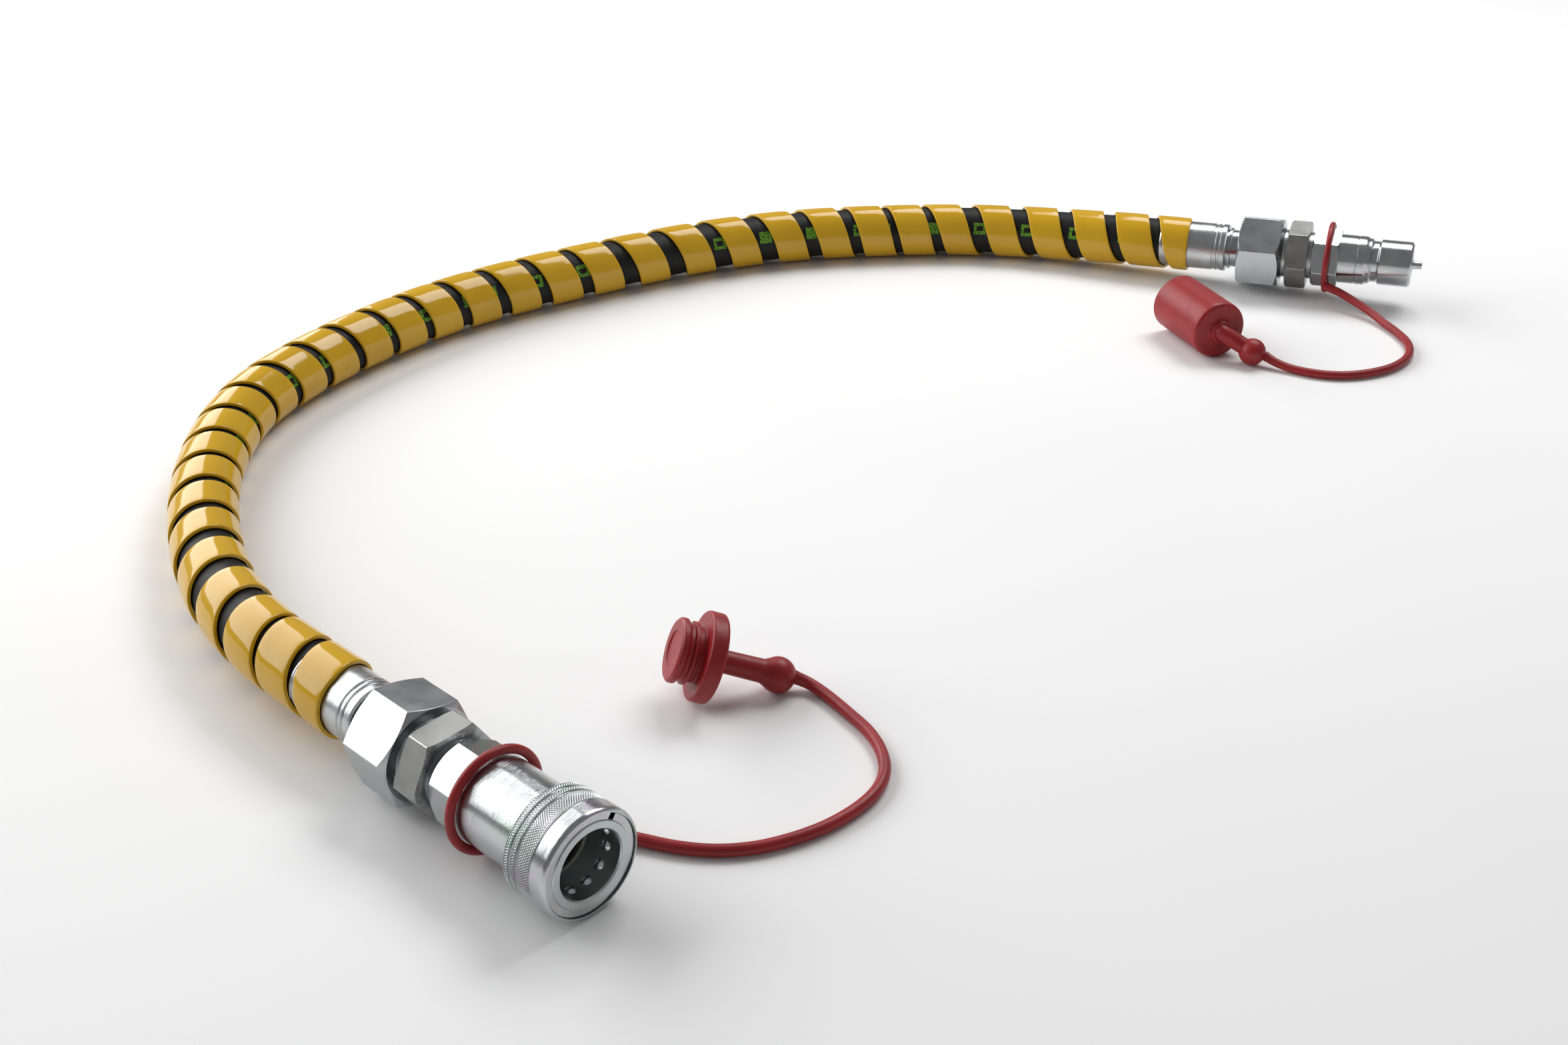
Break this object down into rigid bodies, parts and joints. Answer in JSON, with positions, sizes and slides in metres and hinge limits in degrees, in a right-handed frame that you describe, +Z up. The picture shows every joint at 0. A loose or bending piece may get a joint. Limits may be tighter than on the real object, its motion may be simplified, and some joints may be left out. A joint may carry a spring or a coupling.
{
  "type": "hydraulic hose assembly",
  "caption": "Flexible hydraulic hose in a spiral guard, with swivel fittings, a ball-lock quick coupling socket and its nipple, and tethered dust covers.",
  "frame": {"origin": "on the floor under the middle of the box round the hose and its fittings, dust covers left out", "axes": "+Z up; the hose's arc opens towards -Y and +X; the socket end lies at low X and Y, the nipple end at high X and Y"},
  "size_m": [0.7908, 0.7825, 0.0535],
  "materials": {
    "hose_rubber": "satin, fine cloth-wrapped surface with faint green markings",
    "hose_wire": "brassed steel wire",
    "guard_plastic": "semi-gloss, rounded edges, light scuffs",
    "satin_zinc": "satin zinc plating, turned and crimped marks",
    "polished_zinc": "bright zinc plating with turning lines",
    "rolled_steel": "matte grey plating, bright edges",
    "dark_steel": "dark oiled steel",
    "spring_steel": "drawn wire",
    "ball_steel": "polished",
    "seal_rubber": "satin moulded rubber",
    "white_plastic": "matte",
    "red_pvc": "satin soft plastic with scuffs"
  },
  "bodies": {
    "hose_assembly": {"hose_inner_tube": "hose_rubber", "hose_wire_reinforcement": "hose_wire", "hose_cover": "hose_rubber", "spiral_guard": "guard_plastic", "socket_end_insert": "satin_zinc", "socket_end_ferrule": "satin_zinc", "socket_end_cone_seal": "seal_rubber", "socket_end_adapter": "rolled_steel", "socket_end_adapter_seal": "seal_rubber", "plug_end_insert": "satin_zinc", "plug_end_ferrule": "satin_zinc", "plug_end_cone_seal": "seal_rubber", "plug_end_adapter": "rolled_steel", "plug_end_adapter_seal": "seal_rubber", "socket_back_body": "polished_zinc", "socket_front_body": "polished_zinc", "socket_sleeve_spring": "spring_steel", "socket_snap_ring": "spring_steel", "socket_seal": "seal_rubber", "socket_backup_ring": "white_plastic", "socket_poppet_guide": "dark_steel", "socket_poppet_spring": "spring_steel", "nipple_body": "polished_zinc", "nipple_retaining_ring": "spring_steel", "nipple_poppet_guide": "dark_steel", "nipple_poppet_spring": "spring_steel"},
    "socket_nut": {"socket_end_nut": "satin_zinc"},
    "plug_nut": {"plug_end_nut": "satin_zinc"},
    "sleeve": {"socket_sleeve": "polished_zinc"},
    "socket_valve": {"socket_poppet": "dark_steel", "socket_poppet_seal": "seal_rubber"},
    "nipple_valve": {"nipple_poppet": "dark_steel", "nipple_poppet_seal": "seal_rubber"},
    "plug_cover": {"dust_plug": "red_pvc", "plug_lanyard": "red_pvc", "plug_lanyard_ring": "red_pvc"},
    "cap_cover": {"dust_cap": "red_pvc", "cap_lanyard": "red_pvc", "cap_lanyard_ring": "red_pvc"},
    "ball_01": {"lock_ball_01": "ball_steel"},
    "ball_02": {"lock_ball_02": "ball_steel"},
    "ball_03": {"lock_ball_03": "ball_steel"},
    "ball_04": {"lock_ball_04": "ball_steel"},
    "ball_05": {"lock_ball_05": "ball_steel"},
    "ball_06": {"lock_ball_06": "ball_steel"},
    "ball_07": {"lock_ball_07": "ball_steel"},
    "ball_08": {"lock_ball_08": "ball_steel"},
    "ball_09": {"lock_ball_09": "ball_steel"},
    "ball_10": {"lock_ball_10": "ball_steel"},
    "ball_11": {"lock_ball_11": "ball_steel"},
    "ball_12": {"lock_ball_12": "ball_steel"}
  },
  "joints": [
    {"name": "socket_nut_turn", "type": "hinge", "parent": "hose_assembly", "child": "socket_nut", "pos_m": [-0.21354, -0.29021, 0.0255], "axis": [0.7193, -0.6947, 0], "continuous": true},
    {"name": "plug_nut_turn", "type": "hinge", "parent": "hose_assembly", "child": "plug_nut", "pos_m": [0.2909, 0.30541, 0.02708], "axis": [0.933, -0.3581, 0.0349], "continuous": true},
    {"name": "sleeve_slide", "type": "slide", "parent": "hose_assembly", "child": "sleeve", "axis": [-0.7193, 0.6947, 0], "range_m": [0, 0.005], "stiffness_N_per_m": 3500, "springref_m": -0.006, "deforming": ["socket_sleeve_spring"]},
    {"name": "socket_valve_slide", "type": "slide", "parent": "hose_assembly", "child": "socket_valve", "axis": [-0.7193, 0.6947, 0], "range_m": [0, 0.008], "stiffness_N_per_m": 2500, "springref_m": -0.006, "deforming": ["socket_poppet_spring"]},
    {"name": "nipple_valve_slide", "type": "slide", "parent": "hose_assembly", "child": "nipple_valve", "axis": [-0.933, 0.3581, -0.0349], "range_m": [0, 0.007], "stiffness_N_per_m": 2500, "springref_m": -0.006, "deforming": ["nipple_poppet_spring"]},
    {"name": "plug_cover_swing", "type": "hinge", "parent": "hose_assembly", "child": "plug_cover", "pos_m": [-0.17074, -0.33155, 0.0255], "axis": [0.7193, -0.6947, 0], "range_deg": [0, 170]},
    {"name": "cap_cover_swing", "type": "hinge", "parent": "hose_assembly", "child": "cap_cover", "pos_m": [0.33522, 0.2884, 0.02873], "axis": [-0.933, 0.3581, -0.0349], "range_deg": [0, 170]},
    {"name": "ball_01_slide", "type": "slide", "parent": "hose_assembly", "child": "ball_01", "axis": [0.1798, 0.1862, -0.9659], "range_m": [0, 0.0015]},
    {"name": "ball_02_slide", "type": "slide", "parent": "hose_assembly", "child": "ball_02", "axis": [0.4912, 0.5086, -0.7071], "range_m": [0, 0.0015]},
    {"name": "ball_03_slide", "type": "slide", "parent": "hose_assembly", "child": "ball_03", "axis": [0.671, 0.6948, -0.2588], "range_m": [0, 0.0015]},
    {"name": "ball_04_slide", "type": "slide", "parent": "hose_assembly", "child": "ball_04", "axis": [0.671, 0.6948, 0.2588], "range_m": [0, 0.0015]},
    {"name": "ball_05_slide", "type": "slide", "parent": "hose_assembly", "child": "ball_05", "axis": [0.4912, 0.5086, 0.7071], "range_m": [0, 0.0015]},
    {"name": "ball_06_slide", "type": "slide", "parent": "hose_assembly", "child": "ball_06", "axis": [0.1798, 0.1862, 0.9659], "range_m": [0, 0.0015]},
    {"name": "ball_07_slide", "type": "slide", "parent": "hose_assembly", "child": "ball_07", "axis": [-0.1798, -0.1862, 0.9659], "range_m": [0, 0.0015]},
    {"name": "ball_08_slide", "type": "slide", "parent": "hose_assembly", "child": "ball_08", "axis": [-0.4912, -0.5086, 0.7071], "range_m": [0, 0.0015]},
    {"name": "ball_09_slide", "type": "slide", "parent": "hose_assembly", "child": "ball_09", "axis": [-0.671, -0.6948, 0.2588], "range_m": [0, 0.0015]},
    {"name": "ball_10_slide", "type": "slide", "parent": "hose_assembly", "child": "ball_10", "axis": [-0.671, -0.6948, -0.2588], "range_m": [0, 0.0015]},
    {"name": "ball_11_slide", "type": "slide", "parent": "hose_assembly", "child": "ball_11", "axis": [-0.4912, -0.5086, -0.7071], "range_m": [0, 0.0015]},
    {"name": "ball_12_slide", "type": "slide", "parent": "hose_assembly", "child": "ball_12", "axis": [-0.1798, -0.1862, -0.9659], "range_m": [0, 0.0015]}
  ],
  "couplings": [
    {"joint": "ball_01_slide", "follows": "sleeve_slide", "ratio": 0.3},
    {"joint": "ball_02_slide", "follows": "sleeve_slide", "ratio": 0.3},
    {"joint": "ball_03_slide", "follows": "sleeve_slide", "ratio": 0.3},
    {"joint": "ball_04_slide", "follows": "sleeve_slide", "ratio": 0.3},
    {"joint": "ball_05_slide", "follows": "sleeve_slide", "ratio": 0.3},
    {"joint": "ball_06_slide", "follows": "sleeve_slide", "ratio": 0.3},
    {"joint": "ball_07_slide", "follows": "sleeve_slide", "ratio": 0.3},
    {"joint": "ball_08_slide", "follows": "sleeve_slide", "ratio": 0.3},
    {"joint": "ball_09_slide", "follows": "sleeve_slide", "ratio": 0.3},
    {"joint": "ball_10_slide", "follows": "sleeve_slide", "ratio": 0.3},
    {"joint": "ball_11_slide", "follows": "sleeve_slide", "ratio": 0.3},
    {"joint": "ball_12_slide", "follows": "sleeve_slide", "ratio": 0.3}
  ]
}
